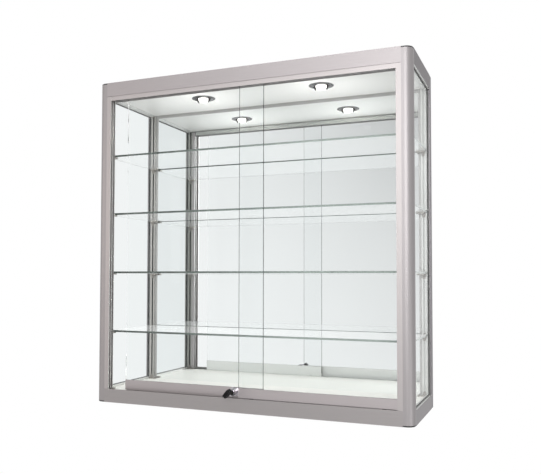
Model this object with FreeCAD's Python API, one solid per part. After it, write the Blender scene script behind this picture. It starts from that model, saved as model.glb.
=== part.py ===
import FreeCAD, Part
import math
import os

# Wall-hung glass display case. Millimetres, X to the right, front towards -Y, Z up.
# The origin is on the wall plane, at the middle of the four wall screws.

# Overall size
CASE_WIDTH = 1000.0
CASE_HEIGHT = 1020.0
CASE_DEPTH = 335.0

# Corner posts: hollow extrusions, round on the front corners and square against the wall
POST_SIZE = 30.0
POST_WALL = 3.0
FRONT_POST_RADIUS = 22.0
REAR_POST_RADIUS = 3.0
CAP_THICKNESS = 4.0
CAP_EDGE = 1.2
CAP_SPIGOT = 10.0
CAP_SPIGOT_GAP = 0.2

# Side glazing, held by a gasket on each face in a groove round the opening
SIDE_GLASS = 5.0
GLASS_RECESS = 6.0
GASKET = 1.5
GASKET_PROUD = 1.5
GROOVE_DEPTH = 9.0
GLASS_EDGE_GAP = 1.0

# Undercut slot in the posts, in which the shelf clips slide
SLOT_FROM_GROOVE = 6.0
SLOT_MOUTH = 5.0
SLOT_CHAMBER = 9.0
SLOT_LIP = 2.0
SLOT_DEPTH = 7.0

# Rails between the posts
TOP_RAIL = 44.0
BASE_RAIL = 42.0
RAIL_DEPTH = 18.0
RAIL_WALL = 2.0
LEDGE_REACH = 10.0
REAR_RAIL_DEPTH = 14.0
REAR_RAIL_WALL = 3.0
CORNER_ANGLE_LEG = 25.0
CORNER_ANGLE_WALL = 2.0
CORNER_ANGLE_MARGIN = 3.0

# Wall screws, through the rear rails
WALL_SCREW_FROM_SIDE = 100.0
WALL_SCREW_EDGE = 19.0
WALL_SCREW_RADIUS = 3.5

# Panels
CEILING_DROP = 40.0
CEILING_PANEL = 4.0
FLOOR_RISE = 36.0
FLOOR_PANEL = 8.0
TOP_COVER = 2.0
TOP_COVER_DROP = 1.0
PANEL_GAP = 0.5

# Mirror back: mirror glass and its board stand in a thin channel on three sides
MIRROR = 4.0
BACK_BOARD = 3.0
CHANNEL_WALL = 2.0
CHANNEL_LIP = 8.0
MIRROR_EDGE_GAP = 0.5
BOARD_STOP = 15.0

# Two sliding doors on two tracks, one behind the other
TRACK_SETBACK = 2.0
TRACK_WALL = 2.0
TRACK_CHANNEL = 11.0
TRACK_DROP = 14.0
TRACK_BED = 24.0
LINER_WALL = 1.0
DOOR_GLASS = 5.0
DOOR_OVERLAP = 16.0
DOOR_TOP_GAP = 3.0
JAMB_WIDTH = 14.5
JAMB_FACE = 3.0
JAMB_LEG = 12.0
DOOR_IN_JAMB = 3.5
LEFT_DOOR_AJAR = 56.0
PILE_WIDTH = 4.0
PILE_GAP = 1.2

# Door shoes and their rollers
SHOE_THICKNESS = 9.0
SHOE_HEIGHT = 39.0
SHOE_POCKET = 22.0
SHOE_WEB = 3.0
SHOE_GLASS_GAP = 0.1
SHOE_SIDE_WALL = 1.3
SHOE_REVEAL = 1.3
INNER_SHOE_DROP = 3.0
SHOE_TO_FLOOR_PANEL = 1.5
RIDGE_HEIGHT = 7.2
RIDGE_WIDTH = 2.4
RUNNING_GAP = 0.3
ROLLER_TREAD_RADIUS = 5.0
ROLLER_FLANGE = 1.2
ROLLER_FLANGE_WIDTH = 1.1
ROLLER_FROM_END = 40.0
SHOE_ABOVE_TRACK = 6.0
AXLE_RADIUS = 1.5
AXLE_FIT = 0.05

# Glass shelves on clips
SHELF_COUNT = 4
SHELF_THICKNESS = 6.0
SHELF_FIRST = 219.0
SHELF_PITCH = 188.5
SHELF_SIDE_GAP = 3.0
SHELF_GAP = 0.5
CLIP_GAP = 0.3
CLIP_PLATE = 2.0
CLIP_WIDTH = 14.0
CLIP_TIP_WIDTH = 6.0
CLIP_RISE = 7.0
CLIP_FALL = 15.0
CLIP_FOOT = 16.0
CLIP_ARM_LENGTH = 20.0
CLIP_ARM_THICKNESS = 4.0
CLIP_ARM_DEPTH = 12.0

# Push lock on the free end of the right door's shoe, with a keeper on the left door's shoe
LOCK_PLATE = 2.0
LOCK_COLLAR_WALL = 1.6
LOCK_COLLAR_LENGTH = 6.0
BARREL_RADIUS = 11.0
BARREL_WALL = 1.7
BARREL_REACH = 14.0
LOCK_RISE = 61.0
PLUNGER_PROUD = 2.5
PLUNGER_LENGTH = 16.0
PLUNGER_STROKE = 8.0
BOLT_RADIUS = 4.0
BOLT_SHORT_OF_SHOE = 1.0
LOCK_FIT = 0.3
CORE_RADIUS = 5.0
CORE_LENGTH = 14.0
KEY_TILT = 52.0
KEY_BLADE_WIDTH = 6.0
KEY_BLADE_THICKNESS = 1.8
KEY_DEPTH = 12.0
KEY_NECK = 11.0
KEY_BOW_WIDTH = 26.0
KEY_BOW_LENGTH = 26.0
KEY_BOW_THICKNESS = 10.0
KEY_BOW_CORNER = 6.0
KEEPER_LENGTH = 7.0
KEEPER_THICKNESS = 2.5
KEEPER_HEIGHT = 14.0
KEEPER_GAP = 3.0

# Two downlights in the ceiling panel, with their driver in the canopy
LAMP_SPACING = 400.0
LAMP_SETBACK = 154.0
BEZEL_RADIUS = 38.0
BEZEL_MOUTH = 22.0
BEZEL_THICKNESS = 3.0
BEZEL_RIM = 1.0
CLAW_DROP = 14.0
CLAW_THICKNESS = 3.0
CLAW_ROOT = 10.0
CLAW_TIP = 1.5
LENS_GAP = 0.8
LENS_DROP = 12.0
HOUSING_RADIUS = 28.5
HOUSING_HEIGHT = 24.0
HOUSING_CUTOUT_GAP = 1.0
TERMINAL_SIZE = 12.0
DRIVER_LENGTH = 120.0
DRIVER_WIDTH = 44.0
DRIVER_HEIGHT = 22.0
DRIVER_CORNER = 4.0
DRIVER_FOOT = 12.0
DRIVER_FOOT_THICKNESS = 2.5
LEAD_RADIUS = 2.0
LEAD_HEIGHT = 5.0

# Rubber cable grommet in the top cover
GROMMET_FROM_SIDE = 150.0
GROMMET_SETBACK = 60.0
GROMMET_RADIUS = 9.0
GROMMET_FLANGE = 4.0
GROMMET_UNDER = 3.0

# Planes that the pieces share
right = CASE_WIDTH / 2.0
front = -CASE_DEPTH
top = CASE_HEIGHT / 2.0
bottom = -top
post_x = right - POST_SIZE
post_back = front + POST_SIZE
rear_post_front = -POST_SIZE
groove_outer = GLASS_RECESS - GASKET
groove_inner = GLASS_RECESS + SIDE_GLASS + GASKET
side_glass_x = right - GLASS_RECESS - SIDE_GLASS
slot_x = right - groove_inner - SLOT_FROM_GROOVE - SLOT_CHAMBER / 2.0

top_rail_low = top - TOP_RAIL
base_rail_high = bottom + BASE_RAIL
cover_low = top - TOP_COVER_DROP - TOP_COVER
ceiling_low = top - CEILING_DROP
ceiling_high = ceiling_low + CEILING_PANEL
floor_high = bottom + FLOOR_RISE
floor_low = floor_high - FLOOR_PANEL

channel_rear = REAR_RAIL_DEPTH
board_rear = channel_rear + CHANNEL_WALL
mirror_rear = board_rear + BACK_BOARD
mirror_front = mirror_rear + MIRROR
channel_front = mirror_front + CHANNEL_WALL
rear_ledge = channel_front + CHANNEL_WALL

# Track walls and door planes, as depths behind the front face
track_pitch = TRACK_WALL + TRACK_CHANNEL
track_walls = [TRACK_SETBACK + i * track_pitch for i in range(3)]
track_depth = track_walls[-1] + TRACK_WALL
right_door_depth = track_walls[0] + TRACK_WALL + TRACK_CHANNEL / 2.0
left_door_depth = right_door_depth + track_pitch
track_ceiling = top_rail_low - TRACK_WALL
track_low = top_rail_low - TRACK_DROP
bed = bottom + TRACK_BED
track_floor = bed + TRACK_WALL
ridge_high = track_floor + RIDGE_HEIGHT
axle_z = ridge_high + RUNNING_GAP + ROLLER_TREAD_RADIUS
shoe_low = track_floor + SHOE_ABOVE_TRACK
shoe_high = shoe_low + SHOE_HEIGHT
outer_shoe_face_low = base_rail_high + SHOE_REVEAL
inner_shoe_face_low = outer_shoe_face_low - INNER_SHOE_DROP
pocket_low = shoe_high - SHOE_POCKET
door_glass_high = track_ceiling - DOOR_TOP_GAP
jamb_x = post_x - JAMB_WIDTH
door_end = jamb_x + DOOR_IN_JAMB
door_width = door_end + DOOR_OVERLAP / 2.0
floor_front = front + left_door_depth + SHOE_THICKNESS / 2.0 + SHOE_TO_FLOOR_PANEL
base_box_depth = left_door_depth + SHOE_THICKNESS / 2.0 + SHOE_TO_FLOOR_PANEL / 2.0

os.makedirs("parts", exist_ok=True)


def vec(x, y, z):
    return FreeCAD.Vector(x, y, z)


def at(axis, along, first, second):
    """A point from its place along one axis and its two places across it, in X, Y, Z order."""
    if axis == "x":
        return vec(along, first, second)
    if axis == "y":
        return vec(first, along, second)
    return vec(first, second, along)


def prism(axis, outline, low, high):
    """A straight extrusion of a closed outline along one axis."""
    corners = [at(axis, low, a, b) for a, b in outline]
    face = Part.Face(Part.makePolygon(corners + corners[:1]))
    return face.extrude(at(axis, high - low, 0.0, 0.0))


def box(x_low, x_high, y_low, y_high, z_low, z_high):
    return Part.makeBox(x_high - x_low, y_high - y_low, z_high - z_low, vec(x_low, y_low, z_low))


def rod(axis, low, high, first, second, radius):
    """A round bar along one axis."""
    return Part.makeCylinder(radius, high - low, at(axis, low, first, second), at(axis, 1.0, 0.0, 0.0))


def turned(profile, x, y):
    """A solid of revolution about an upright axis, from (radius, height) points."""
    corners = [vec(r, 0.0, z) for r, z in profile]
    face = Part.Face(Part.makePolygon(corners + corners[:1]))
    solid = face.revolve(vec(0.0, 0.0, 0.0), vec(0.0, 0.0, 1.0), 360.0)
    solid.translate(vec(x, y, 0.0))
    return solid


def fused(shapes):
    whole = shapes[0]
    if len(shapes) > 1:
        whole = whole.fuse(shapes[1:])
    return whole.removeSplitter()


def left_of(shape):
    """The same piece on the left half of the case."""
    return shape.mirror(vec(0.0, 0.0, 0.0), vec(1.0, 0.0, 0.0))


def rear_of(shape):
    """The same piece at the back of the case, mirrored about mid depth."""
    return shape.mirror(vec(0.0, front / 2.0, 0.0), vec(0.0, 1.0, 0.0))


def base_of(shape):
    """The same piece at the base of the case, mirrored about mid height."""
    return shape.mirror(vec(0.0, 0.0, 0.0), vec(0.0, 0.0, 1.0))


def rounded_edges(shape, radius, wanted):
    """The solid with the edges that pass the test rounded over."""
    edges = [edge for edge in shape.Edges if wanted(edge.BoundBox)]
    return shape.makeFillet(radius, edges)


def bevelled_edges(shape, width, wanted):
    """The solid with the edges that pass the test bevelled."""
    edges = [edge for edge in shape.Edges if wanted(edge.BoundBox)]
    return shape.makeChamfer(width, edges)


def save(name, *solids):
    shape = solids[0] if len(solids) == 1 else Part.makeCompound(list(solids))
    shape.exportStep("parts/" + name + ".step")


def post_face(inset, radius, z):
    """Section of the front right post, set in from its outer skin, with its outer corner rounded."""
    near_x = right - inset
    far_x = post_x + inset
    near_y = front + inset
    far_y = post_back - inset
    bend = max(radius - inset, radius / 10.0)
    bow = bend * (1.0 - math.sqrt(0.5))
    corner = Part.Arc(
        vec(near_x - bend, near_y, z),
        vec(near_x - bow, near_y + bow, z),
        vec(near_x, near_y + bend, z),
    ).toShape()
    stops = [(near_x, near_y + bend), (near_x, far_y), (far_x, far_y)]
    stops += [(far_x, near_y), (near_x - bend, near_y)]
    points = [vec(x, y, z) for x, y in stops]
    sides = [Part.makeLine(a, b) for a, b in zip(points, points[1:])]
    return Part.Face(Part.Wire([corner] + sides))


def post_core(inset, radius, low, high):
    """The hollow that runs through a post, in front of its groove and slot."""
    hollow = post_face(inset, radius, low).extrude(vec(0.0, 0.0, high - low))
    core_back = post_back - max(GROOVE_DEPTH, SLOT_DEPTH) - inset
    return hollow.common(box(post_x, right, front, core_back, low, high))


def corner_post(radius):
    """Front right post: glazing groove and clip slot run down its back face."""
    low = bottom + CAP_THICKNESS
    high = top - CAP_THICKNESS
    body = post_face(0.0, radius, low).extrude(vec(0.0, 0.0, high - low))
    groove = box(right - groove_inner, right - groove_outer, post_back - GROOVE_DEPTH, post_back, low, high)
    half_mouth = SLOT_MOUTH / 2.0
    mouth = box(slot_x - half_mouth, slot_x + half_mouth, post_back - SLOT_LIP, post_back, low, high)
    half_chamber = SLOT_CHAMBER / 2.0
    chamber_front = post_back - SLOT_DEPTH
    chamber_back = post_back - SLOT_LIP
    chamber = box(slot_x - half_chamber, slot_x + half_chamber, chamber_front, chamber_back, low, high)
    return body.cut([groove, mouth, chamber, post_core(POST_WALL, radius, low, high)])


def top_cap(radius):
    """Moulded cap on the top of the front right post, with a spigot in the hollow."""
    low = top - CAP_THICKNESS
    plate = post_face(0.0, radius, low).extrude(vec(0.0, 0.0, CAP_THICKNESS))
    plate = bevelled_edges(plate, CAP_EDGE, lambda b: b.ZMin > top - CAP_EDGE / 2.0)
    spigot = post_core(POST_WALL + CAP_SPIGOT_GAP, radius, low - CAP_SPIGOT, low)
    return fused([plate, spigot])


def front_run(outline):
    """A front rail, from an outline of depths behind the front face and heights."""
    return prism("x", [(front + d, z) for d, z in outline], -post_x, post_x)


def side_run(outline):
    """A right side rail, from an outline of depths inside the right face and heights."""
    return prism("y", [(right - d, z) for d, z in outline], post_back, rear_post_front)


def rear_run(outline, half_width):
    """A rear rail, from an outline of depths in front of the wall and heights."""
    return prism("x", [(-d, z) for d, z in outline], -half_width, half_width)


def rectangle(a_low, a_high, b_low, b_high):
    return [(a_low, b_low), (a_high, b_low), (a_high, b_high), (a_low, b_high)]


# Posts and their end caps
front_post = corner_post(FRONT_POST_RADIUS)
rear_post = rear_of(corner_post(REAR_POST_RADIUS))
save("front_right_post", front_post)
save("front_left_post", left_of(front_post))
save("rear_right_post", rear_post)
save("rear_left_post", left_of(rear_post))

right_caps = [top_cap(FRONT_POST_RADIUS), rear_of(top_cap(REAR_POST_RADIUS))]
right_caps += [base_of(cap) for cap in right_caps]
save("post_end_caps", *right_caps, *[left_of(cap) for cap in right_caps])

# Top rails: a hollow box with a ledge for the ceiling panel and a lip round the top cover
ledge_low = ceiling_low - RAIL_WALL
top_outline = [
    (0.0, top_rail_low),
    (RAIL_DEPTH, top_rail_low),
    (RAIL_DEPTH, ledge_low),
    (RAIL_DEPTH + LEDGE_REACH, ledge_low),
    (RAIL_DEPTH + LEDGE_REACH, ceiling_low),
    (RAIL_DEPTH, ceiling_low),
    (RAIL_DEPTH, cover_low),
    (RAIL_WALL, cover_low),
    (RAIL_WALL, top),
    (0.0, top),
]
rail_inside = RAIL_DEPTH - RAIL_WALL
top_hollow = rectangle(RAIL_WALL, rail_inside, top_rail_low + RAIL_WALL, cover_low - RAIL_WALL)
save("top_front_rail", front_run(top_outline).cut(front_run(top_hollow)))

top_groove = rectangle(groove_outer, groove_inner, top_rail_low, top_rail_low + GROOVE_DEPTH)
side_hollow_low = top_rail_low + GROOVE_DEPTH + RAIL_WALL
side_hollow = rectangle(RAIL_WALL, rail_inside, side_hollow_low, cover_low - RAIL_WALL)
top_side_rail = side_run(top_outline).cut([side_run(top_groove), side_run(side_hollow)])
save("right_top_rail", top_side_rail)
save("left_top_rail", left_of(top_side_rail))

top_rear_outline = [
    (0.0, top_rail_low),
    (REAR_RAIL_WALL, top_rail_low),
    (REAR_RAIL_WALL, ledge_low),
    (rear_ledge, ledge_low),
    (rear_ledge, ceiling_low),
    (REAR_RAIL_WALL, ceiling_low),
    (REAR_RAIL_WALL, cover_low - RAIL_WALL),
    (REAR_RAIL_DEPTH, cover_low - RAIL_WALL),
    (REAR_RAIL_DEPTH, cover_low),
    (RAIL_WALL, cover_low),
    (RAIL_WALL, top),
    (0.0, top),
]
wall_hole_x = right - WALL_SCREW_FROM_SIDE
wall_hole_z = top - WALL_SCREW_EDGE
top_holes = [
    rod("y", -REAR_RAIL_WALL, 0.0, x, wall_hole_z, WALL_SCREW_RADIUS) for x in (-wall_hole_x, wall_hole_x)
]
save("top_rear_rail", rear_run(top_rear_outline, post_x).cut(top_holes))

# Base rails: the front one carries the door track behind its lip, all carry the floor panel
floor_ledge_low = floor_low - RAIL_WALL
base_wall = base_box_depth - RAIL_WALL
base_front_sections = [
    rectangle(0.0, RAIL_WALL, bottom, base_rail_high),
    rectangle(0.0, base_box_depth, bottom, bottom + RAIL_WALL),
    rectangle(0.0, base_box_depth, bed - RAIL_WALL, bed),
    rectangle(base_wall, base_box_depth, bottom, max(bed, floor_low)),
    rectangle(base_wall, base_box_depth + LEDGE_REACH, floor_ledge_low, floor_low),
]
base_front = fused([front_run(section) for section in base_front_sections])
lip_radius = RAIL_WALL / 2.5
base_front = rounded_edges(
    base_front,
    lip_radius,
    lambda b: b.ZMin > base_rail_high - lip_radius and b.XLength > post_x and b.YMax < front + lip_radius,
)
save("base_front_rail", base_front)

base_outline = [
    (0.0, bottom),
    (RAIL_DEPTH, bottom),
    (RAIL_DEPTH, floor_ledge_low),
    (RAIL_DEPTH + LEDGE_REACH, floor_ledge_low),
    (RAIL_DEPTH + LEDGE_REACH, floor_low),
    (RAIL_DEPTH, floor_low),
    (RAIL_DEPTH, base_rail_high),
    (0.0, base_rail_high),
]
base_groove = rectangle(groove_outer, groove_inner, base_rail_high - GROOVE_DEPTH, base_rail_high)
base_hollow_high = base_rail_high - GROOVE_DEPTH - RAIL_WALL
base_hollow = rectangle(RAIL_WALL, rail_inside, bottom + RAIL_WALL, base_hollow_high)
base_side_rail = side_run(base_outline).cut([side_run(base_groove), side_run(base_hollow)])
save("right_base_rail", base_side_rail)
save("left_base_rail", left_of(base_side_rail))

base_rear_outline = [
    (0.0, bottom),
    (REAR_RAIL_DEPTH, bottom),
    (REAR_RAIL_DEPTH, bottom + RAIL_WALL),
    (REAR_RAIL_WALL, bottom + RAIL_WALL),
    (REAR_RAIL_WALL, floor_ledge_low),
    (rear_ledge, floor_ledge_low),
    (rear_ledge, floor_low),
    (REAR_RAIL_WALL, floor_low),
    (REAR_RAIL_WALL, base_rail_high),
    (0.0, base_rail_high),
]
board_stop_half = post_x - CHANNEL_LIP - CHANNEL_WALL
board_stop_section = rectangle(channel_rear, board_rear, floor_low, floor_high + BOARD_STOP)
board_stop = rear_run(board_stop_section, board_stop_half)
base_rear = fused([rear_run(base_rear_outline, post_x), board_stop])
save("base_rear_rail", base_rear.cut([base_of(hole) for hole in top_holes]))


def angle(corner_x, corner_y, x_leg, y_leg, low, high):
    """A bent corner angle: one leg along X and one along Y from their inside corner."""
    x_wall = math.copysign(CORNER_ANGLE_WALL, x_leg)
    y_wall = math.copysign(CORNER_ANGLE_WALL, y_leg)
    outline = [(0.0, 0.0), (x_leg, 0.0), (x_leg, y_wall), (x_wall, y_wall), (x_wall, y_leg), (0.0, y_leg)]
    return prism("z", [(corner_x + x, corner_y + y) for x, y in outline], low, high)


# Corner angles that tie the rails to the posts, inside the canopy and the base
rail_x = right - RAIL_DEPTH
post_face_left = post_x - rail_x
canopy_span = (ceiling_high + CORNER_ANGLE_MARGIN, cover_low - CORNER_ANGLE_MARGIN)
base_span = (bottom + CORNER_ANGLE_MARGIN, floor_ledge_low - CORNER_ANGLE_MARGIN)
rail_to_post = POST_SIZE - RAIL_DEPTH
rear_leg = POST_SIZE - REAR_RAIL_WALL
right_angles = [angle(post_x, front + RAIL_DEPTH, -CORNER_ANGLE_LEG, rail_to_post, *canopy_span)]
for span in (canopy_span, base_span):
    right_angles.append(angle(rail_x, post_back, post_face_left, CORNER_ANGLE_LEG, *span))
    right_angles.append(angle(rail_x, rear_post_front, post_face_left, -CORNER_ANGLE_LEG, *span))
right_angles.append(angle(post_x, -REAR_RAIL_WALL, -CORNER_ANGLE_LEG, -rear_leg, *canopy_span))
save("corner_angles", *right_angles, *[left_of(piece) for piece in right_angles])

# Side glass and the gaskets on both its faces
glass_front = post_back - GROOVE_DEPTH + GLASS_EDGE_GAP
glass_rear = rear_post_front + GROOVE_DEPTH - GLASS_EDGE_GAP
glass_low = base_rail_high - GROOVE_DEPTH + GLASS_EDGE_GAP
glass_high = top_rail_low + GROOVE_DEPTH - GLASS_EDGE_GAP
side_glass = box(side_glass_x, side_glass_x + SIDE_GLASS, glass_front, glass_rear, glass_low, glass_high)
save("right_side_glass", side_glass)
save("left_side_glass", left_of(side_glass))


def gasket_ring(x_low):
    """A flat rubber ring on the edge of the side glass, just proud of the groove."""
    ring = box(x_low, x_low + GASKET, glass_front, glass_rear, glass_low, glass_high)
    opening = box(
        x_low,
        x_low + GASKET,
        post_back + GASKET_PROUD,
        rear_post_front - GASKET_PROUD,
        base_rail_high + GASKET_PROUD,
        top_rail_low - GASKET_PROUD,
    )
    return ring.cut(opening)


right_gaskets = [gasket_ring(side_glass_x - GASKET), gasket_ring(side_glass_x + SIDE_GLASS)]
save("side_gaskets", *right_gaskets, *[left_of(ring) for ring in right_gaskets])

# Ceiling, floor and top cover panels, notched round the posts
notch_x = post_x - PANEL_GAP
notch_y = POST_SIZE + PANEL_GAP


def notched_panel(half_width, y_low, y_high, front_notch, z_low, z_high):
    """A panel with its corners cut back: front_notch is the X where the front notch starts."""
    notch_front = front + notch_y
    outline = [
        (-front_notch, y_low),
        (front_notch, y_low),
        (front_notch, notch_front),
        (half_width, notch_front),
        (half_width, -notch_y),
        (notch_x, -notch_y),
        (notch_x, y_high),
        (-notch_x, y_high),
        (-notch_x, -notch_y),
        (-half_width, -notch_y),
        (-half_width, notch_front),
        (-front_notch, notch_front),
    ]
    return prism("z", outline, z_low, z_high)


panel_half = rail_x - PANEL_GAP
lamp_x = LAMP_SPACING / 2.0
lamp_y = front + LAMP_SETBACK
cutout_radius = HOUSING_RADIUS + HOUSING_CUTOUT_GAP
ceiling_front = front + RAIL_DEPTH + PANEL_GAP
ceiling = notched_panel(
    panel_half, ceiling_front, -REAR_RAIL_WALL - PANEL_GAP, notch_x, ceiling_low, ceiling_high
)
cutouts = [rod("z", ceiling_low, ceiling_high, x, lamp_y, cutout_radius) for x in (-lamp_x, lamp_x)]
save("ceiling_panel", ceiling.cut(cutouts))

floor_notch = post_x - JAMB_LEG - PANEL_GAP
floor_rear = -board_rear - PANEL_GAP
save("floor_panel", notched_panel(panel_half, floor_front, floor_rear, floor_notch, floor_low, floor_high))

cover_inset = RAIL_WALL + PANEL_GAP
cover = notched_panel(
    right - cover_inset, front + cover_inset, -cover_inset, notch_x, cover_low, cover_low + TOP_COVER
)
grommet_x = right - GROMMET_FROM_SIDE
grommet_y = -GROMMET_SETBACK
cover_high = cover_low + TOP_COVER
save("top_cover", cover.cut(rod("z", cover_low, cover_high, grommet_x, grommet_y, GROMMET_RADIUS)))

grommet_wide = GROMMET_RADIUS + GROMMET_FLANGE
flange_place = vec(grommet_x, grommet_y, cover_high)
flange = Part.makeCone(grommet_wide, grommet_wide - GROMMET_FLANGE / 2.0, top - cover_high, flange_place)
plug = rod("z", cover_low - GROMMET_UNDER, cover_high, grommet_x, grommet_y, GROMMET_RADIUS)
save("cable_grommet", fused([plug, flange]))

# Mirror back, its board and the channel round three sides
mirror_half = post_x - CHANNEL_WALL - MIRROR_EDGE_GAP
mirror_high = ledge_low - CHANNEL_WALL - MIRROR_EDGE_GAP
save("mirror", box(-mirror_half, mirror_half, -mirror_front, -mirror_rear, floor_high, mirror_high))
save("back_board", box(-mirror_half, mirror_half, -mirror_rear, -board_rear, floor_high, mirror_high))


def channel_outline(edge, inward):
    """U section round the mirror and board; edge is its closed side, inward the way it opens."""
    web = edge + inward * CHANNEL_WALL
    lip = edge + inward * CHANNEL_LIP
    return [
        (edge, -channel_front),
        (lip, -channel_front),
        (lip, -mirror_front),
        (web, -mirror_front),
        (web, -board_rear),
        (lip, -board_rear),
        (lip, -channel_rear),
        (edge, -channel_rear),
    ]


upright = prism("z", channel_outline(post_x, -1.0), floor_high, ledge_low)
top_section = [(y, z) for z, y in channel_outline(ledge_low, -1.0)]
channel_half = post_x - CHANNEL_LIP
top_channel = prism("x", top_section, -channel_half, channel_half)
save("mirror_channels", upright, left_of(upright), top_channel)

# Top track: three walls under a plate, with a black slip liner in each channel
track_half = jamb_x
top_track = [(track_walls[0], track_low)]
for wall in track_walls:
    top_track += [(wall, track_ceiling), (wall, track_low), (wall + TRACK_WALL, track_low)]
    top_track += [(wall + TRACK_WALL, track_ceiling)]
top_track = top_track[2:-1] + [(track_depth, top_rail_low), (track_walls[0], top_rail_low)]
save("top_track", prism("x", [(front + d, z) for d, z in top_track], -track_half, track_half))


def liner(wall):
    """A downward U of slip plastic that lines one channel of the top track."""
    low = wall + TRACK_WALL
    high = low + TRACK_CHANNEL
    lip = track_low + LINER_WALL
    outline = [
        (low, lip),
        (low, track_ceiling),
        (high, track_ceiling),
        (high, lip),
        (high - LINER_WALL, lip),
        (high - LINER_WALL, track_ceiling - LINER_WALL),
        (low + LINER_WALL, track_ceiling - LINER_WALL),
        (low + LINER_WALL, lip),
    ]
    return prism("x", [(front + d, z) for d, z in outline], -track_half, track_half)


def pile_strip(depth):
    """Pile strip in the right jamb, where a closed door's edge stops."""
    half = PILE_WIDTH / 2.0
    y = front + depth
    x_low = door_end + PILE_GAP
    return box(x_low, post_x - TRACK_WALL, y - half, y + half, shoe_high, track_low)


track_liners = [liner(wall) for wall in track_walls[:2]]
pile_strips = [pile_strip(right_door_depth), left_of(pile_strip(left_door_depth))]
save("track_liners", *track_liners, *pile_strips)

# Jambs: a front face and two channels that the door edges close into
jamb_pieces = [box(post_x - TRACK_WALL, post_x, front, front + track_depth, base_rail_high, top_rail_low)]
jamb_pieces.append(box(jamb_x, post_x, front, front + JAMB_FACE, base_rail_high, top_rail_low))
for wall in track_walls[1:]:
    leg_front = front + wall
    jamb_pieces.append(
        box(post_x - JAMB_LEG, post_x, leg_front, leg_front + TRACK_WALL, base_rail_high, top_rail_low)
    )
jamb = fused(jamb_pieces)
save("right_jamb", jamb)
save("left_jamb", left_of(jamb))

# Base track: a plate with a running ridge under each door and a wall between them
track_margin = PANEL_GAP + RAIL_WALL
base_track_half = post_x - PANEL_GAP
track_plate = [
    box(
        -base_track_half,
        base_track_half,
        front + track_margin,
        front + base_box_depth - track_margin,
        bed,
        track_floor,
    )
]
ridge_half = RIDGE_WIDTH / 2.0
for depth in (right_door_depth, left_door_depth):
    y = front + depth
    track_plate.append(
        box(-base_track_half, base_track_half, y - ridge_half, y + ridge_half, track_floor, ridge_high)
    )
divider_y = front + (right_door_depth + left_door_depth) / 2.0
divider_front = divider_y - ridge_half
divider_rear = divider_y + ridge_half
track_plate.append(box(-base_track_half, base_track_half, divider_front, divider_rear, track_floor, shoe_low))
save("base_track", fused(track_plate))

# Sliding doors: glass in an aluminium shoe, on two grooved rollers each
roller_half = RIDGE_WIDTH / 2.0 + RUNNING_GAP + ROLLER_FLANGE_WIDTH
shoe_half = SHOE_THICKNESS / 2.0
shoe_channel_half = shoe_half - SHOE_SIDE_WALL
right_door_left = door_end - door_width
left_door_left = -door_end + LEFT_DOOR_AJAR


def roller(x, y):
    """A nylon roller with tapered flanges that runs on the ridge of the base track."""
    groove_half = RIDGE_WIDTH / 2.0 + RUNNING_GAP
    bore = AXLE_RADIUS + AXLE_FIT
    rim = ROLLER_TREAD_RADIUS + ROLLER_FLANGE
    tread = rod("y", y - groove_half, y + groove_half, x, axle_z, ROLLER_TREAD_RADIUS)
    flanges = []
    for way in (-1.0, 1.0):
        root = vec(x, y + way * groove_half, axle_z)
        flanges.append(Part.makeCone(ROLLER_TREAD_RADIUS, rim, ROLLER_FLANGE_WIDTH, root, vec(0.0, way, 0.0)))
    wheel = fused([tread] + flanges)
    return wheel.cut(rod("y", y - roller_half, y + roller_half, x, axle_z, bore))


def make_door(side, left_end, depth, face_low):
    """One door from its left end, its depth behind the front and the foot of its shoe's front wall."""
    right_end = left_end + door_width
    y = front + depth
    half_glass = DOOR_GLASS / 2.0
    glass = box(left_end, right_end, y - half_glass, y + half_glass, pocket_low, door_glass_high)
    pocket_half = half_glass + SHOE_GLASS_GAP
    channel_high = pocket_low - SHOE_WEB
    outline = [
        (y - shoe_half, face_low),
        (y - shoe_half, shoe_high),
        (y - pocket_half, shoe_high),
        (y - pocket_half, pocket_low),
        (y + pocket_half, pocket_low),
        (y + pocket_half, shoe_high),
        (y + shoe_half, shoe_high),
        (y + shoe_half, shoe_low),
        (y + shoe_channel_half, shoe_low),
        (y + shoe_channel_half, channel_high),
        (y - shoe_channel_half, channel_high),
        (y - shoe_channel_half, face_low),
    ]
    roller_places = (left_end + ROLLER_FROM_END, right_end - ROLLER_FROM_END)
    axles = [rod("y", y - roller_half, y + shoe_half, x, axle_z, AXLE_RADIUS) for x in roller_places]
    save(side + "_door_glass", glass)
    save(side + "_door_shoe", prism("x", outline, left_end, right_end).cut(axles))
    save(side + "_door_axles", *axles)
    for end, x in zip(("left", "right"), roller_places):
        save(side + "_door_" + end + "_roller", roller(x, y))


make_door("left", left_door_left, left_door_depth, inner_shoe_face_low)
make_door("right", right_door_left, right_door_depth, outer_shoe_face_low)

# Push lock: collar on the shoe's end, barrel, sliding plunger, turning core and key
lock_x = right_door_left - LOCK_PLATE - BARREL_RADIUS - LOCK_COLLAR_WALL / 2.0
lock_z = bottom + LOCK_RISE
lock_y = front + right_door_depth
barrel_front = front - BARREL_REACH
barrel_rear = lock_y + shoe_half
collar_radius = BARREL_RADIUS + LOCK_COLLAR_WALL
lock_plate = box(
    right_door_left - LOCK_PLATE,
    right_door_left,
    lock_y - shoe_half,
    lock_y + shoe_half,
    lock_z - collar_radius,
    shoe_high,
)
collar_half = LOCK_COLLAR_LENGTH / 2.0
collar = rod("y", lock_y - collar_half, lock_y + collar_half, lock_x, lock_z, collar_radius)
collar = collar.cut(
    box(
        right_door_left,
        right_door_left + collar_radius,
        lock_y - collar_half,
        lock_y + collar_half,
        lock_z - collar_radius,
        lock_z + collar_radius,
    )
)
barrel_blank = rod("y", barrel_front, barrel_rear, lock_x, lock_z, BARREL_RADIUS)
save("lock_bracket", fused([lock_plate, collar]).cut(barrel_blank))

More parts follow.
